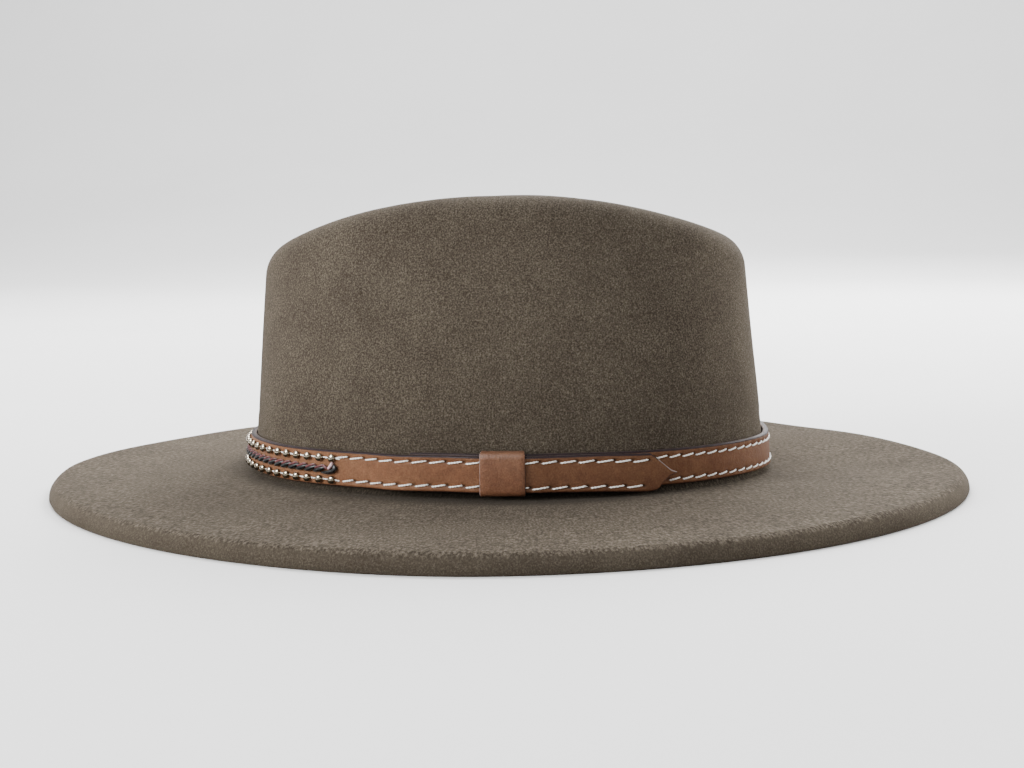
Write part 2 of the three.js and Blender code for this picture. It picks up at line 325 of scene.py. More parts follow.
LENGTHS = length_table()
ROUND = LENGTHS[-1]
OVERLAP_FROM = ROUND + INNER_END
STRAP_END = ROUND + OUTER_END
TIP_FROM = STRAP_END - TIP_LENGTH


def place_of(length):
    """The same place on the first turn."""
    return np.where(length > ROUND, length - ROUND, length)


def on_strap(length, out, height):
    """Points at lengths round the strap, distances out from its back, and heights."""
    length, out, height = np.broadcast_arrays(length, out, height)
    turns = np.floor(length / ROUND)
    angle = np.interp(length - turns * ROUND, LENGTHS, MARKS)
    forward, across = superellipse(angle, STRAP_BACK.power)
    out = out - STRAP_LEAN * (height - STRAP_FOOT)
    x = (STRAP_BACK.width + out) * across
    y = STRAP_BACK.centre - (STRAP_BACK.length + out) * forward
    return np.stack([x, y, height], -1)


def stand_off(length):
    """How far the strap stands off the felt to leave room for the keeper."""
    place = place_of(length)
    away = np.maximum(np.maximum(KEEPER_FROM - place, place - KEEPER_TO), 0)
    return KEEPER_ROOM * (1 - smooth(away, 0, KEEPER_RAMP))


def layer_out(length):
    """How far the outer layer has climbed over the inner one."""
    climbed = OVERLAP_FROM - CLIMB_BEFORE_END
    return (STRAP_THICK + LAYER_GAP) * smooth(length, climbed - CLIMB, climbed)


def middle_of(length):
    """Height of the strap's middle line."""
    place = place_of(length)
    reach = np.where(place < RISE_TOP, RISE_FRONT, RISE_BACK)
    rise = RISE * (1 - smooth(np.abs(place - RISE_TOP) / reach, 0, 1))
    drop = TIP_DROP * smooth(length, TIP_FROM - TIP_DROP_LENGTH, TIP_FROM)
    drop = drop + POINT_DROP * smooth(length, TIP_FROM, TIP_FROM + TIP_LENGTH)
    drop = drop + OVERLAP_DROP * smooth(length, OVERLAP_FROM - DROP_LENGTH, OVERLAP_FROM)
    return STRAP_MIDDLE + rise - drop - dip_at(np.interp(place, LENGTHS, MARKS))


def face_point(length, out, height):
    """Points at distances out from the strap's face and heights from its middle line."""
    base = stand_off(length) + layer_out(length) + STRAP_THICK
    return on_strap(length, base + out, middle_of(length) + height)


# Places of stitches and beads

# Rows of stitches: height from the middle line, places of the first and last stitch's
# right end, how many, and which turn of the strap they are on
Run = namedtuple("Run", "height first last count turn")
STITCH_RUNS = [
    Run(4.28, 98.5, 150.6, 9, 1),
    Run(4.45, 157.1, 209.5, 9, 1),
    Run(-4.25, 101.4, 150.2, 9, 1),
    Run(-4.3, 155.9, 161.4, 2, 1),
    Run(-4.75, 166.9, 207.0, 7, 1),
    Run(4.0, 212.9, 509.2, 52, 0),
    Run(-4.4, 212.3, 509.5, 52, 0),
]
Stitch = namedtuple("Stitch", "left right height hole")
THREAD = 0.36
STITCH_GAP, STITCH_SLANT, STITCH_UNEVEN, HOLE_BEYOND = 1.0, 0.42, 0.3, 0.45
STITCH_SUNK_LEFT, STITCH_SUNK_RIGHT, STITCH_LIFT, STITCH_TURNS = 0.35, 0.3, 0.5, 2.5

# Rows of beads over the front
BeadRow = namedtuple("BeadRow", "height first")
BEAD_ROWS = [BeadRow(3.85, -93.9), BeadRow(-4.2, -93.8)]
BEAD_PITCH, BEAD_COUNT = 6.0, 32
BEAD_HALF_LONG, BEAD_HALF_HIGH, BEAD_HALF_DEEP, BEAD_OUT = 1.35, 1.5, 1.15, 0.9


def stitch_list():
    """Every stitch: its left and right end, its height and the hole beyond its right end."""
    for run in STITCH_RUNS:
        ends = np.linspace(run.first, run.last, run.count) + run.turn * ROUND
        pitch = (run.last - run.first) / (run.count - 1)
        for end in ends:
            uneven = STITCH_UNEVEN * noise.noise(Vector((end, run.height, 0.5)))
            left, right = end - pitch + STITCH_GAP - uneven, end + uneven
            yield Stitch(left, right, run.height, right + HOLE_BEYOND)


def bead_places(row):
    return ROUND + row.first + BEAD_PITCH * np.arange(BEAD_COUNT)


# Strap

# The pointed end: half heights above and below the middle line, going back from the point
Tip = namedtuple("Tip", "back up down")
TIP = [
    Tip(0, 0.3, 0.3),
    Tip(2.4, 1.2, 1.15),
    Tip(4.6, 2.95, 2.8),
    Tip(6.1, 4.15, 4.2),
    Tip(6.9, 4.8, 5.6),
    Tip(8.2, 5.75, 6.6),
    Tip(9.9, 6.95, 6.95),
]

# The strap's section: place across from -1 to 1, how far out from the back as a share of
# the thickness (none on the face, which has its own relief), and how much painted highlight it
# takes
Section = namedtuple("Section", "across out worn")
TOP_EDGE = [Section(1.0, 0.62, 0.0), Section(1.0, 0.35, 0.16), Section(0.99, 0.12, 0.42)]
BACK_PLACES = [0.94, 0.5, 0.0, -0.5, -0.94]
FACE_PLACES, FACE_EDGE = 23, 0.97
STITCH_LINES, LINE_HALF, LINE_PLACES = (4.2, -4.35), 0.16, 7
FACE_TOP_FROM, FACE_TOP_PLACES = 0.84, 6
EDGE_ROUND, EDGE_FALL = 0.6, 0.48

# The leather's relief along the stitches
GROOVE_DEEP, GROOVE_HALF, GROOVE_FADE = 0.16, 0.75, 1.5
PIT_DEEP, PIT_RADIUS, PIT_RISE = 0.55, 0.55, 0.25
PUFF_HIGH, PUFF_HALF_LONG, PUFF_HALF_WIDE, PUFF_AT = 0.12, 1.9, 0.9, 5.6
RELIEF_REACH = 7

# Edge paint, painted shade and a painted highlight line, by distance from the strap's edge
POINT_LENGTH = 7.5
EDGE_PAINT = (0.5, 0.7)
POINT_SHADE, POINT_SHADE_EDGE = 0.75, (0.3, 0.75)
POINT_HIGHLIGHT, POINT_HIGHLIGHT_EDGE = 0.4, (0.45, 0.65)


def face_places():
    """Places across the face, closer together along the stitches and at the top edge."""
    even = np.linspace(-1, 1, FACE_PLACES)
    close = np.linspace(-LINE_HALF, LINE_HALF, LINE_PLACES)
    lines = [line / STRAP_HALF + close for line in STITCH_LINES]
    top = np.linspace(FACE_TOP_FROM, FACE_EDGE, FACE_TOP_PLACES)
    places = np.unique(np.round(np.concatenate([even, *lines, top]), 4))
    return places[np.abs(places) <= FACE_EDGE]


def strap_section():
    face = [Section(place, None, 0.0) for place in face_places()]
    back = [Section(place, 0.0, 0.0) for place in BACK_PLACES]
    under = [Section(-row.across, row.out, 0.0) for row in reversed(TOP_EDGE)]
    return face + TOP_EDGE + back + under


def strap_halves(length):
    """Half heights of the strap above and below its middle line."""
    half = mix(STRAP_HALF, STRAP_HALF_AT_TIP, smooth(length, ROUND + KEEPER_TO, TIP_FROM))
    back, at_tip = STRAP_END - length, length > TIP_FROM
    places = [row.back for row in TIP]
    up = np.interp(back, places, [row.up for row in TIP])
    down = np.interp(back, places, [row.down for row in TIP])
    return np.where(at_tip, up, half), np.where(at_tip, down, half)


def strap_relief(length, height):
    """Height of the leather's face over its flat: grooves, holes and the puckers between."""
    relief = np.zeros(np.broadcast(length, height).shape)
    pits = np.zeros_like(relief)
    for stitch in stitch_list():
        middle = (stitch.left + stitch.right) / 2
        near = np.abs(length - middle) < RELIEF_REACH
        if not near.any():
            continue
        rows = near[:, 0]
        at, up = length[rows], height[rows]
        begun = smooth(at, stitch.left - GROOVE_FADE, stitch.left)
        ended = smooth(at, stitch.right, stitch.right + GROOVE_FADE)
        groove = begun * (1 - ended) * np.exp(-((up - stitch.height) / GROOVE_HALF) ** 2)
        pit_up = up - stitch.height - PIT_RISE
        pit = np.exp(-((at - stitch.hole) ** 2 + pit_up ** 2) / PIT_RADIUS ** 2)
        puff_along = (at - middle) / PUFF_HALF_LONG
        puff_up = (np.abs(up) - PUFF_AT) / PUFF_HALF_WIDE
        puff = np.exp(-(puff_along ** 2 + puff_up ** 2))
        relief[rows] += PUFF_HIGH * puff - GROOVE_DEEP * groove - PIT_DEEP * pit
        # pits also marks the stitch holes, which take painted shade
        pits[rows] = np.maximum(pits[rows], pit)
    return relief, pits


def strap_body():
    """The strap, and for each point its edge paint and painted shade, its painted shade in stitch
    holes and its painted highlight.
    """
    section = strap_section()
    length = np.arange(INNER_END, TIP_FROM, STRAP_STEP)
    length = np.concatenate([length, np.linspace(TIP_FROM, STRAP_END, TIP_STEPS)])[:, None]
    across = np.array([row.across for row in section])
    is_face = np.array([row.out is None for row in section])
    share_out = np.array([1.0 if row.out is None else row.out for row in section])
    worn = np.array([row.worn for row in section])

    up, down = strap_halves(length)
    half = np.where(across > 0, up, down)
    height = across * half
    relief, pits = strap_relief(length, height)
    inset = np.clip(np.abs(height) - (half - EDGE_ROUND), 0, None) / EDGE_ROUND
    rounded = EDGE_FALL * (1 - np.sqrt(np.clip(1 - inset ** 2, 0, 1)))
    out = np.where(is_face, relief - rounded, STRAP_THICK * (share_out - 1))
    points = face_point(length, out, height)

    at_point = length > STRAP_END - POINT_LENGTH
    # Edge paint along the top edge, and painted shade along the point's lower edge in the same dark
    # colour
    painted = (across > 0) * (1 - smooth(up - height, *EDGE_PAINT))
    shade = POINT_SHADE * at_point * (across < 0) * (1 - smooth(down + height, *POINT_SHADE_EDGE))
    # A painted highlight line along the point's upper edge; elsewhere the top edge's painted
    # highlight
    light = POINT_HIGHLIGHT * is_face * (across > 0) * (1 - smooth(up - height, *POINT_HIGHLIGHT_EDGE))
    paint = np.where(is_face, np.maximum(painted, shade), 1.0)
    return capped(points), paint, pits, np.where(at_point, light, worn)


# Tubes in the strap's own coordinates: length, out, height

# A spot on a thread's path: how far along the strap, out from its face and up
Spot = namedtuple("Spot", "along out up")
PLIES, PLY_THICK, PLY_OFFSET = 2, 0.6, 0.42
THREAD_TAPER, THREAD_AT_END, ARCH_POWER = 3, 0.35, 0.6
STRAND_AT_END, POINTED, BLUNT = 0.12, 0.7, 0.4


def moved(spot, place, height):
    return (place + spot.along, spot.out, height + spot.up)


def tube(path, radius, sides=6, twist=0.0, phase=0.0, offset=0.0):
    """Rings of points round a path, which may wind round it at an offset."""
    path = np.asarray(path, float)
    count = len(path)
    tangent = np.gradient(path, axis=0)
    tangent /= np.linalg.norm(tangent, axis=1, keepdims=True)
    outward = np.array([0.0, 1.0, 0.0]) - tangent * tangent[:, 1:2]
    outward /= np.linalg.norm(outward, axis=1, keepdims=True)
    across = np.cross(tangent, outward)
    turn = phase + twist * np.linspace(0, 1, count)[:, None]
    centre = path + offset * (np.cos(turn) * outward + np.sin(turn) * across)
    around = np.linspace(0, 2 * pi, sides, endpoint=False)[None, :, None]
    circle = np.cos(around) * outward[:, None] + np.sin(around) * across[:, None]
    radius = np.broadcast_to(radius, (count,))[:, None, None]
    return centre[:, None] + radius * circle


def on_face(rows):
    return capped(face_point(rows[..., 0], rows[..., 1], rows[..., 2]))


def thread_part(path, thickness, turns):
    """A twisted thread along a path, thinner at its two ends."""
    parts = []
    ends = np.clip(np.sin(np.linspace(0, pi, len(path))) * THREAD_TAPER, THREAD_AT_END, 1)
    for ply in range(PLIES):
        rows = tube(
            path, thickness * PLY_THICK * ends, twist=turns * 2 * pi,
            phase=ply * 2 * pi / PLIES, offset=thickness * PLY_OFFSET)
        parts.append(on_face(rows))
    return parts


def strand(spots, place, thickness, steps, power=POINTED):
    """A smooth strand of the lace through spots, thinner at its two ends."""
    path = rounded_path([moved(spot, place, LACE_HEIGHT) for spot in spots], steps)
    swell = np.clip(np.sin(np.linspace(0, pi, len(path))), STRAND_AT_END, 1) ** power
    return on_face(tube(path, thickness * swell, sides=8))


def arched(start, end, lift, steps=10):
    """A path between two points in the strap's coordinates that rises off its face."""
    f = np.linspace(0, 1, steps + 1)[:, None]
    path = mix(np.array(start, float), np.array(end, float), f)
    path[:, 1] += lift * np.sin(f[:, 0] * pi) ** ARCH_POWER
    return path


def rounded_path(points, steps):
    """A smooth path through points."""
    points = np.array(points, float)
    ends = np.vstack([2 * points[0] - points[1], points, 2 * points[-1] - points[-2]])
    just_short = 0.0001
    path = []
    for t in np.linspace(0, len(points) - 1 - just_short, steps + 1):
        i, f = int(t), t - int(t)
        a, b, c, d = ends[i:i + 4]
        square, cube = 2 * a - 5 * b + 4 * c - d, 3 * b - a - 3 * c + d
        path.append(0.5 * (2 * b + (c - a) * f + square * f ** 2 + cube * f ** 3))
    return np.array(path)


# Stitches, beads and the thread between beads

# The thread runs from the left bead's place to the right one's, and on beyond the last
LINK_THREAD, LINK_LIFT, LINK_TURNS = THREAD * 0.8, 0.3, 1.5
LINK_START, LINK_END = Spot(1.2, 0.0, 0.1), Spot(-BEAD_HALF_LONG - 0.1, 0.1, -0.05)
LAST_LIFT, LAST_TURNS = 0.25, 1.0
LAST_START, LAST_END = Spot(1.1, 0.1, 0.0), Spot(3.1, -0.1, -0.3)


def stitches():
    parts = []
    for stitch in stitch_list():
        start = (stitch.left, -STITCH_SUNK_LEFT, stitch.height - STITCH_SLANT)
        end = (stitch.right, -STITCH_SUNK_RIGHT, stitch.height + STITCH_SLANT)
        parts += thread_part(arched(start, end, STITCH_LIFT), THREAD, STITCH_TURNS)
    return joined(parts)


def bead_links():
    parts = []
    for row in BEAD_ROWS:
        places = bead_places(row)
        for left, right in zip(places, places[1:]):
            start, end = moved(LINK_START, left, row.height), moved(LINK_END, right, row.height)
            parts += thread_part(arched(start, end, LINK_LIFT), LINK_THREAD, LINK_TURNS)
        start, end = (moved(spot, places[-1], row.height) for spot in (LAST_START, LAST_END))
        parts += thread_part(arched(start, end, LAST_LIFT), LINK_THREAD, LAST_TURNS)
    return joined(parts)


def bead(place, height, rings=14, sides=20):
    turn = np.linspace(0, pi, rings + 1)[1:-1]
    along = place - BEAD_HALF_LONG * np.cos(turn)
    girth = np.sin(turn)[:, None]
    around = np.linspace(0, 2 * pi, sides, endpoint=False)
    rows = np.stack([
        np.broadcast_to(along[:, None], (len(turn), sides)),
        BEAD_OUT + BEAD_HALF_DEEP * girth * np.cos(around),
        height + BEAD_HALF_HIGH * girth * np.sin(around),
    ], -1)
    return on_face(rows)


def bead_row(row):
    return joined([bead(place, row.height) for place in bead_places(row)])


# Plaited lace: strands from spot to spot, and the loop, crossing and tie at its near end

LACE_FROM, LACE_TO, LACE_PITCH = -92.5, 86.2, 4.7
LACE_HEIGHT = -0.2
LACE_PLACES = np.arange(LACE_TO, LACE_FROM, -LACE_PITCH) + ROUND
LACE_END = LACE_TO + LACE_PITCH + ROUND
DARK_THICK, RED_THICK, TIE_THICK = 0.85, 0.48, 0.62
DARK_STRAND = [
    Spot(-3.7, 0.1, -1.15),
    Spot(-1.9, 0.75, -0.95),
    Spot(0.0, 1.05, -0.5),
    Spot(1.8, 0.9, 0.15),
    Spot(3.3, 0.25, 0.6),
]
DARK_LOOP = [
    Spot(-4.0, 0.1, -1.6),
    Spot(-1.8, 0.85, -1.45),
    Spot(0.2, 1.1, -1.1),
    Spot(1.9, 1.05, -0.65),
    Spot(2.75, 0.95, 0.0),
    Spot(2.6, 0.8, 0.75),
    Spot(1.7, 0.55, 1.2),
    Spot(1.2, 0.2, 1.5),
]
RED_STRAND = [
    Spot(-4.0, 0.15, -0.65),
    Spot(-2.3, 0.65, -0.05),
    Spot(-0.6, 0.9, 0.45),
    Spot(0.9, 0.9, 0.95),
    Spot(2.1, 0.65, 1.2),
    Spot(3.0, 0.3, 0.75),
]
RED_CROSSING = [
    Spot(-3.0, 0.6, 1.25),
    Spot(-1.8, 0.75, 0.6),
    Spot(-0.4, 0.6, -0.35),
]
TIE = [
    Spot(-0.6, 0.5, -0.1),
    Spot(0.4, 0.9, 0.6),
    Spot(1.3, 0.95, 1.6),
    Spot(1.2, 0.5, 2.8),
]


def dark_strands():
    parts = [strand(DARK_STRAND, place, DARK_THICK, steps=16) for place in LACE_PLACES]
    return joined(parts + [strand(DARK_LOOP, LACE_END, DARK_THICK, steps=30, power=BLUNT)])


def red_strands():
    parts = [strand(RED_STRAND, place, RED_THICK, steps=18) for place in LACE_PLACES]
    return joined(parts + [strand(RED_CROSSING, LACE_END, RED_THICK, steps=12)])


def lace_tie():
    """The pale piece of cord that holds the lace's end to the last upper bead."""
    return strand(TIE, LACE_END, TIE_THICK, steps=16, power=BLUNT)


# Keeper

# A cut edge of the keeper: how far in from the edge, and how far out through the leather
Lip = namedtuple("Lip", "inset layer")
LIP = [Lip(0.3, 0.0), Lip(0.05, 0.2), Lip(0.0, 0.5), Lip(0.05, 0.8), Lip(0.3, 1.0)]


def keeper_loop(layer, steps=8):
    """Distance out from the strap's back and height of the loop's inside or outside."""
    low, high = -KEEPER_GAP - layer, 2 * STRAP_THICK + LAYER_GAP + KEEPER_GAP + layer
    half = STRAP_HALF + OVERLAP_DROP / 2 + KEEPER_GAP + layer
    corner = mix(KEEPER_INNER_CORNER, KEEPER_CORNER, layer / KEEPER_THICK)
    quarter = np.linspace(0, pi / 2, steps + 1)
    loop = []
    for turns, (out, up) in enumerate([(high, 1), (low, 1), (low, -1), (high, -1)]):
        centre_out = out - corner if out > 0 else out + corner
        centre_up = up * (half - corner)
        for q in quarter + turns * pi / 2:
            loop.append((centre_out + corner * cos(q), centre_up + corner * sin(q)))
    return np.array(loop)


def keeper_stations():
    """Once round the leather's section: places round the strap, and how far through it."""
    left = [(KEEPER_FROM + row.inset, row.layer) for row in LIP]
    right = [(KEEPER_TO - row.inset, row.layer) for row in reversed(LIP)]
    between = np.linspace(KEEPER_FROM, KEEPER_TO, KEEPER_STEPS)[2:-2]
    return left + [(place, 1.0) for place in between] + right + [(KEEPER_MIDDLE, 0.0)]


def keeper_band():
    """The keeper, with edge paint on its right cut edge and a painted highlight on its left one."""
    middle = middle_of(KEEPER_MIDDLE) - OVERLAP_DROP / 2
    rows, paint, crest = [], [], []
    for place, layer in keeper_stations():
        loop = keeper_loop(layer * KEEPER_THICK)
        swell = KEEPER_BULGE * np.clip(1 - (loop[:, 1] / STRAP_HALF) ** 2, 0, 1) * layer
        in_front = loop[:, 0] > KEEPER_FRONT_FROM
        out = stand_off(place) + loop[:, 0] + np.where(in_front, swell, 0)
        rows.append(on_strap(place, out, middle + loop[:, 1]))
        # Edge paint on the right cut edge; the left cut edge takes a painted highlight instead
        cut, left = 0 < layer < 1, place < KEEPER_MIDDLE
        paint.append(np.full(len(loop), float(cut and not left)))
        crest.append(np.full(len(loop), float(cut and left)))
    return grid(rows, wrap_rows=True), paint, crest


# Shader nodes

BUMP_STRENGTH = 0.5


def node(tree, kind, inputs=None, **settings):
    made = tree.nodes.new(kind)
    for key, value in settings.items():
        setattr(made, key, value)
    for key, value in (inputs or {}).items():
        if isinstance(value, bpy.types.NodeSocket):
            tree.links.new(value, made.inputs[key])
        else:
            made.inputs[key].default_value = value
    return made


def srgb(red, green, blue):
    """A colour given as 0 to 255 in sRGB, as the linear numbers that shaders use."""
    def linear(v):
        v /= 255
        return v / 12.92 if v <= 0.04045 else ((v + 0.055) / 1.055) ** 2.4
    return (linear(red), linear(green), linear(blue), 1.0)


def grey(value):
    return (value, value, value, 1)


def new_material(name, **shader):
    material = bpy.data.materials.new(name)
    material.use_nodes = True
    tree = material.node_tree
    surface = tree.nodes["Principled BSDF"]
    for key, value in shader.items():
        surface.inputs[key.replace("_", " ")].default_value = value
    place = node(tree, "ShaderNodeTexCoord").outputs["Object"]
    return material, tree, surface, place


def noise_at(tree, place, scale, detail, roughness=0.6):
    inputs = {"Vector": place, "Scale": scale, "Detail": detail, "Roughness": roughness}
    return node(tree, "ShaderNodeTexNoise", inputs).outputs["Fac"]


def ramp(tree, factor, low, high, low_at=0.3, high_at=0.7, middle=None):
    made = node(tree, "ShaderNodeValToRGB", {"Fac": factor})
    first, last = made.color_ramp.elements
    first.position, first.color = low_at, low
    last.position, last.color = high_at, high
    if middle:
        made.color_ramp.elements.new((low_at + high_at) / 2).color = middle
    return made.outputs["Color"]


def blend_colour(tree, factor, a, b, mode="MIX"):
    made = node(tree, "ShaderNodeMix", data_type="RGBA", blend_type=mode)
    for socket, value in ((made.inputs[0], factor), (made.inputs[6], a), (made.inputs[7], b)):
        if isinstance(value, bpy.types.NodeSocket):
            tree.links.new(value, socket)
        else:
            socket.default_value = value
    return made.outputs[2]


def times_colour(tree, a, b):
    return blend_colour(tree, 1.0, a, b, "MULTIPLY")


def calculated(tree, operation, a, b):
    return node(tree, "ShaderNodeMath", {0: a, 1: b}, operation=operation).outputs[0]


def plus(tree, a, b):
    return calculated(tree, "ADD", a, b)


def times(tree, a, b):
    return calculated(tree, "MULTIPLY", a, b)


def bump(tree, height, distance):
    inputs = {"Height": height, "Distance": distance, "Strength": BUMP_STRENGTH}
    return node(tree, "ShaderNodeBump", inputs).outputs["Normal"]


def mask(tree, name):
    return node(tree, "ShaderNodeAttribute", attribute_name=name).outputs["Fac"]


# Felt material

# FELT_SHADE is the colour of painted shade on the felt
FELT_LOW, FELT_HIGH, FELT_SHADE = srgb(66, 59, 50), srgb(74, 67, 57), srgb(20, 17, 14)
FIBRE_DARK, FIBRE_MIDDLE, FIBRE_LIGHT = (0.36, 0.35, 0.33, 1), grey(0.9), (2.04, 2.08, 2.22, 1)
SHEEN_TINT = (1.0, 0.86, 0.7, 1.0)
CLOUD_SCALE, SPECK_SCALE, BRIM_SPECK_SCALE = 45, 1700, 900
BRIM_AROUND, BRIM_INWARD, BRIM_CONTRAST = 0.2, 0.72, 1.15
RIM_CALM, SHADE_DEPTH, NAP_HEIGHT = 0.5, 0.8, 0.0006


def brim_speck(tree, place):
    """Noise drawn out along the brim's radius, as its brushed nap is."""
    split = node(tree, "ShaderNodeSeparateXYZ", {"Vector": place}).outputs
    angle = calculated(tree, "ARCTAN2", split["Y"], split["X"])
    flat = node(tree, "ShaderNodeCombineXYZ", {"X": split["X"], "Y": split["Y"]}).outputs[0]
    length = node(tree, "ShaderNodeVectorMath", {0: flat}, operation="LENGTH").outputs["Value"]
    polar = node(tree, "ShaderNodeCombineXYZ", {
        "X": times(tree, angle, BRIM_AROUND),
        "Y": times(tree, length, BRIM_INWARD),
        "Z": split["Z"],
    }).outputs[0]
    speck = noise_at(tree, polar, BRIM_SPECK_SCALE, detail=2, roughness=0.7)
    return plus(tree, times(tree, plus(tree, speck, -0.5), BRIM_CONTRAST), 0.5)


def felt_material():
    material, tree, surface, place = new_material(
        "felt", Roughness=0.95, Sheen_Weight=0.06, Sheen_Roughness=0.5, Sheen_Tint=SHEEN_TINT,
        Specular_IOR_Level=0.05)
    cloud = noise_at(tree, place, CLOUD_SCALE, detail=4)
    speck = noise_at(tree, place, SPECK_SCALE, detail=2, roughness=0.7)
    fibre = blend_colour(tree, mask(tree, "brim"), speck, brim_speck(tree, place))
    fibre = blend_colour(tree, times(tree, mask(tree, "rim"), RIM_CALM), fibre, grey(0.5))
    base = ramp(tree, cloud, FELT_LOW, FELT_HIGH, low_at=0.35, high_at=0.65)
    shade = ramp(tree, fibre, FIBRE_DARK, FIBRE_LIGHT, middle=FIBRE_MIDDLE)
    colour = times_colour(tree, base, shade)
    # The foot mask blends in painted shade, under the strap and low on the rim
    colour = blend_colour(tree, times(tree, mask(tree, "foot"), SHADE_DEPTH), colour, FELT_SHADE)
    tree.links.new(colour, surface.inputs["Base Color"])
    tree.links.new(bump(tree, fibre, NAP_HEIGHT), surface.inputs["Normal"])
    return material


# Leather materials

# Each leather's dark colour serves its edge paint and painted shade, its pale colour painted
# highlights
Leather = namedtuple("Leather", "name low high paint crest gloss roughness")
STRAP_LEATHER = Leather(
    "strap_leather", low=srgb(108, 72, 50), high=srgb(124, 88, 63),
    paint=srgb(42, 31, 33), crest=srgb(196, 176, 166), gloss=0.12, roughness=0.5)
KEEPER_LEATHER = Leather(
    "keeper_leather", low=srgb(104, 68, 48), high=srgb(120, 84, 61),
    paint=srgb(46, 34, 33), crest=srgb(140, 119, 113), gloss=0.18, roughness=0.45)
# Colours of painted shade: in the stitch holes, and on the strap's back part
HOLE_SHADE_COLOUR, BACK_SHADE_COLOUR, BACK_SHADE_DEPTH = srgb(22, 15, 10), srgb(60, 34, 22), 0.3
TONE_SCALE, PATCH_SCALE, GRAIN_SCALE, FINE_SCALE = 60, 420, 1500, 1900
PAINT_SMOOTHER, TONE_ROUGHER, GRAIN_HEIGHT = -0.05, 0.12, 0.0002


def leather_material(look):
    material, tree, surface, place = new_material(look.name, Specular_IOR_Level=look.gloss)
    tone = noise_at(tree, place, TONE_SCALE, detail=4)
    patch = noise_at(tree, place, PATCH_SCALE, detail=3)
    fine = noise_at(tree, place, FINE_SCALE, detail=2)
    voronoi = node(tree, "ShaderNodeTexVoronoi", {"Vector": place, "Scale": GRAIN_SCALE})
    colour = ramp(tree, tone, look.low, look.high)
    colour = times_colour(tree, colour, ramp(tree, fine, grey(0.76), grey(1.2)))
    colour = times_colour(tree, colour, ramp(tree, patch, grey(0.84), grey(1.14)))
    # Painted shade: the strap's leather darker towards its back
    back_shade = times(tree, mask(tree, "back_shade"), BACK_SHADE_DEPTH)
    colour = blend_colour(tree, back_shade, colour, BACK_SHADE_COLOUR)
    # Painted shade in the stitch holes
    colour = blend_colour(tree, mask(tree, "pit"), colour, HOLE_SHADE_COLOUR)
    # Edge paint, and painted shade below the strap's point
    colour = blend_colour(tree, mask(tree, "paint"), colour, look.paint)
    # Painted highlights on the strap's top edge and point, and on the keeper's left cut edge
    colour = blend_colour(tree, mask(tree, "crest"), colour, look.crest)
    tree.links.new(colour, surface.inputs["Base Color"])
    rough = plus(tree, times(tree, mask(tree, "paint"), PAINT_SMOOTHER), look.roughness)
    rough = plus(tree, rough, times(tree, tone, TONE_ROUGHER))
    tree.links.new(rough, surface.inputs["Roughness"])
    relief = plus(tree, voronoi.outputs["Distance"], fine)
    tree.links.new(bump(tree, relief, GRAIN_HEIGHT), surface.inputs["Normal"])
    return material


# Thread and metal materials

Thread = namedtuple("Thread", "name low high roughness sheen")
WHITE_THREAD = Thread("stitch_thread", srgb(254, 249, 241), srgb(255, 255, 250), 0.5, 0.45)
BLACK_CORD = Thread("black_cord", srgb(5, 5, 6), srgb(14, 15, 16), 0.38, 0.01)
RED_CORD = Thread("red_cord", srgb(52, 20, 22), srgb(124, 62, 64), 0.42, 0.02)
PALE_CORD = Thread("pale_cord", srgb(196, 150, 158), srgb(232, 204, 208), 0.4, 0.05)
FIBRE_SCALE, FIBRE_HEIGHT = 2500, 0.0002
WEAR_SCALE, METAL_LOW, METAL_HIGH = 1400, srgb(136, 128, 112), srgb(174, 165, 149)
METAL_SMOOTH, METAL_ROUGH = 0.1, 0.2


def thread_material(look):
    material, tree, surface, place = new_material(
        look.name, Roughness=look.roughness, Sheen_Weight=look.sheen)
    fibre = noise_at(tree, place, FIBRE_SCALE, detail=2)
    tree.links.new(ramp(tree, fibre, look.low, look.high), surface.inputs["Base Color"])
    tree.links.new(bump(tree, fibre, FIBRE_HEIGHT), surface.inputs["Normal"])
    return material


def metal_material():
    material, tree, surface, place = new_material("bead_metal", Metallic=1.0)
    wear = noise_at(tree, place, WEAR_SCALE, detail=3)
    tree.links.new(ramp(tree, wear, METAL_LOW, METAL_HIGH), surface.inputs["Base Color"])
    inputs = {"Value": wear, "To Min": METAL_SMOOTH, "To Max": METAL_ROUGH}
    rough = node(tree, "ShaderNodeMapRange", inputs).outputs["Result"]
    tree.links.new(rough, surface.inputs["Roughness"])
    return material


# Studio

FLOOR_HALF, WALL_HEIGHT, WALL_BEND, BEND_STEPS = 4.0, 4.0, 2.5, 12
FLOOR_LOW, FLOOR_HIGH, FLOOR_PATCH_SCALE = srgb(246, 246, 246), srgb(250, 250, 250), 3
WORLD_STRENGTH = 0.68

# Round soft lights, in metres and watts. Azimuth 0 is the wearer's left, 90 the back
Light = namedtuple(
    "Light", "name azimuth elevation power size distance target diffuse glossy",
    defaults=(0.8, 1.6, (0, 0, 0.06), True, True))
LIGHTS = [
    Light("front_low", -92, 6, 7.5, glossy=False),
    Light("front_side", -58, 14, 32, glossy=False),
    Light("near_shine", -40, 50, 85, size=1.2, diffuse=False),
    Light("back_side", 100, 14, 8, glossy=False),
    Light("back_low", 126, 6, 19, glossy=False),
    Light("back_middle", 165, 32, 21),
    Light("back_high", 150, 48, 20),
    Light("wall_wash", 0, 27, 90, size=3.0, distance=2.7, target=(-4, 0, 1.3)),
    Light("far_high", -150, 48, 18),
    Light("far_top", -165, 65, 13),
]


def floor_material():
    material, tree, surface, place = new_material("floor", Roughness=0.9)
    patch = noise_at(tree, place, FLOOR_PATCH_SCALE, detail=2, roughness=0.5)
    tree.links.new(ramp(tree, patch, FLOOR_LOW, FLOOR_HIGH), surface.inputs["Base Color"])
    return material


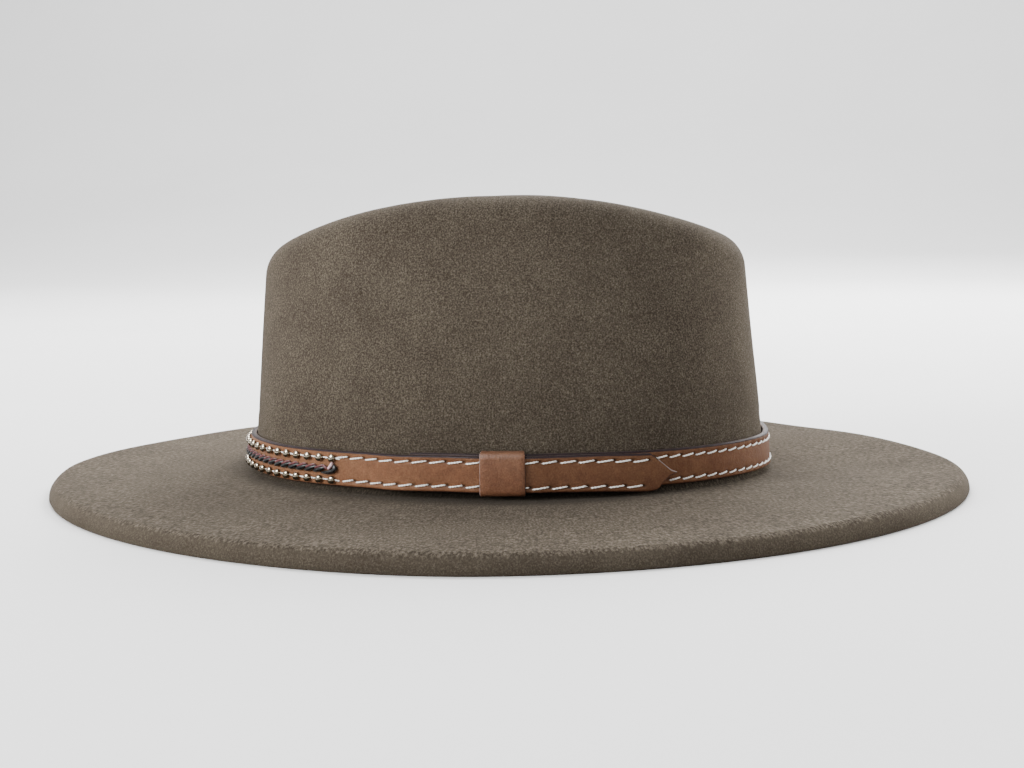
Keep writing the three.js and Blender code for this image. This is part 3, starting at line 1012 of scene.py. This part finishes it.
def studio_floor():
    """A floor that bends up into a wall behind the hat."""
    bend_at = -FLOOR_HALF + WALL_BEND
    profile = [(FLOOR_HALF, 0.0), (bend_at, 0.0)]
    for turn in np.linspace(0, pi / 2, BEND_STEPS + 1)[1:]:
        profile.append((bend_at - WALL_BEND * sin(turn), WALL_BEND - WALL_BEND * cos(turn)))
    profile.append((-FLOOR_HALF, WALL_HEIGHT))
    points, faces = [], []
    for x, z in profile:
        points += [(x, -2 * FLOOR_HALF, z), (x, 2 * FLOOR_HALF, z)]
    for i in range(len(profile) - 1):
        faces.append([2 * i, 2 * i + 1, 2 * i + 3, 2 * i + 2])
    mesh = bpy.data.meshes.new("floor")
    mesh.from_pydata(points, [], faces)
    mesh.polygons.foreach_set("use_smooth", [True] * len(faces))
    mesh.materials.append(floor_material())
    floor = bpy.data.objects.new("floor", mesh)
    bpy.context.scene.collection.objects.link(floor)


def area_light(light):
    """A lamp that faces its target from an azimuth and an elevation."""
    azimuth, elevation = radians(light.azimuth), radians(light.elevation)
    level = light.distance * cos(elevation)
    away = Vector((level * cos(azimuth), level * sin(azimuth), light.distance * sin(elevation)))
    data = bpy.data.lights.new(light.name, "AREA")
    data.shape = "DISK"
    data.size = light.size
    data.energy = light.power
    lamp = bpy.data.objects.new(light.name, data)
    lamp.location = Vector(light.target) + away
    lamp.rotation_euler = away.to_track_quat("Z", "Y").to_euler()
    lamp.visible_diffuse = light.diffuse
    lamp.visible_glossy = light.glossy
    bpy.context.scene.collection.objects.link(lamp)


def studio_light():
    world = bpy.data.worlds.new("studio")
    world.use_nodes = True
    background = world.node_tree.nodes["Background"]
    background.inputs["Color"].default_value = grey(1)
    background.inputs["Strength"].default_value = WORLD_STRENGTH
    bpy.context.scene.world = world
    for light in LIGHTS:
        area_light(light)


def photo_camera():
    camera = bpy.data.cameras.new("photo_camera")
    camera.sensor_fit = "HORIZONTAL"
    camera.sensor_width = SENSOR_WIDTH
    camera.lens = SENSOR_WIDTH * CAMERA_FOCAL_PX / PHOTO_WIDTH
    camera.clip_start = CLIP_FROM
    camera.clip_end = CLIP_TO
    yaw = Matrix.Rotation(CAMERA_YAW, 3, "Z")
    back = Vector((cos(CAMERA_PITCH), 0, sin(CAMERA_PITCH)))
    up = Vector((-sin(CAMERA_PITCH), 0, cos(CAMERA_PITCH)))
    right = Vector((0, 1, 0))
    tilted_right = right * cos(CAMERA_ROLL) + up * sin(CAMERA_ROLL)
    tilted_up = up * cos(CAMERA_ROLL) - right * sin(CAMERA_ROLL)
    axes = Matrix([yaw @ tilted_right, yaw @ tilted_up, yaw @ back]).transposed()
    holder = bpy.data.objects.new("photo_camera", camera)
    holder.matrix_world = Matrix.Translation(yaw @ Vector(CAMERA_AT) * MM) @ axes.to_4x4()
    bpy.context.scene.collection.objects.link(holder)
    bpy.context.scene.camera = holder


# Painted shade on felt and leather, and where the brim's nap and the rim's calmer grain lie,
# by height, by X and Y, and by reach, which is 1 at the crown's foot. A pair is where a mark begins
# and ends

BRIM_NAP_FROM, BRIM_NAP_TO, RIM_CALM_TO = (4, 6.5), (9, 16), (5, 6.8)
ROUND_SHADE, ROUND_SHADE_AT_BACK = 0.62, 0.15
ROUND_SHADE_BACK, ROUND_SHADE_REACH = (45, 85), (1.06, 1.17)
DOUBLED_SHADE, DOUBLED_MIDDLE, DOUBLED_HALF = 0.8, 15, 38
DOUBLED_SIDE, DOUBLED_REACH = (0, 40), (1.12, 1.2)
STRAP_SHADE_TO, FLOOR_SHADE, FLOOR_SHADE_TO = (14, 20), 0.25, (1, 5)
# Where the painted shade on the strap's back part sets in, along Y and along X
BACK_SHADE_Y, BACK_SHADE_X = (5, 28), (-70, -20)


def shade_under_strap(x, y, reach):
    """Painted shade round the strap's foot: least at the back, most below the doubled strap."""
    depth = mix(ROUND_SHADE, ROUND_SHADE_AT_BACK, smooth(y, *ROUND_SHADE_BACK))
    all_round = depth * (1 - smooth(reach, *ROUND_SHADE_REACH))
    doubled = np.exp(-((y - DOUBLED_MIDDLE) / DOUBLED_HALF) ** 2) * smooth(x, *DOUBLED_SIDE)
    doubled = DOUBLED_SHADE * doubled * (1 - smooth(reach, *DOUBLED_REACH))
    return np.minimum(all_round + doubled, 1)


# The hat

def make_felt():
    body, inside_count = felt_shell()
    shell = make_piece("felt_shell", body, felt_material(), "felt_body")
    x, y, height = body[0].T
    reach = np.hypot(x / CROWN_FOOT.width, (y - CROWN_FOOT.centre) / CROWN_FOOT.length)
    nap = smooth(height, *BRIM_NAP_FROM) * (1 - smooth(height, *BRIM_NAP_TO))
    # Painted shade under the strap, and low on the rim near the floor
    at_strap = shade_under_strap(x, y, reach) * (1 - smooth(height, *STRAP_SHADE_TO))
    at_floor = FLOOR_SHADE * (1 - smooth(height, *FLOOR_SHADE_TO))
    is_outside = np.arange(len(x)) >= inside_count
    add_mask(shell, "brim", nap)
    # The foot mask holds this painted shade, kept off the felt's inside
    add_mask(shell, "foot", np.maximum(at_strap, at_floor) * is_outside)
    add_mask(shell, "rim", 1 - smooth(height, *RIM_CALM_TO))


def make_strap():
    body, paint, pits, crest = strap_body()
    strap = make_piece(
        "strap_leather", body, leather_material(STRAP_LEATHER), "strap")
    x, y, _ = body[0].T
    # Edge paint, and painted shade below the point
    add_mask(strap, "paint", paint, at_ends=1.0)
    # Painted shade in the stitch holes
    add_mask(strap, "pit", pits, at_ends=0.0)
    # Painted highlights on the top edge and the point
    add_mask(strap, "crest", crest, at_ends=0.0)
    # Painted shade on the strap's back part
    add_mask(strap, "back_shade", smooth(y, *BACK_SHADE_Y) * smooth(x, *BACK_SHADE_X))


def make_keeper():
    band, paint, crest = keeper_band()
    keeper = make_piece(
        "keeper_leather", band, leather_material(KEEPER_LEATHER), "keeper")
    add_mask(keeper, "paint", paint)
    # A painted highlight on the left cut edge
    add_mask(keeper, "crest", crest)


def make_trim():
    white, silver = thread_material(WHITE_THREAD), metal_material()
    upper, lower = (bead_row(row) for row in BEAD_ROWS)
    make_piece("stitches", stitches(), white)
    make_piece("bead_links", bead_links(), white)
    make_piece("beads_upper", upper, silver, "bead_row_upper")
    make_piece("beads_lower", lower, silver, "bead_row_lower")
    make_piece("lace_dark", dark_strands(), thread_material(BLACK_CORD), "lace")
    make_piece("lace_red", red_strands(), thread_material(RED_CORD))
    make_piece("lace_tie", lace_tie(), thread_material(PALE_CORD))


photo_camera()
studio_floor()
studio_light()
make_felt()
make_strap()
make_keeper()
make_trim()
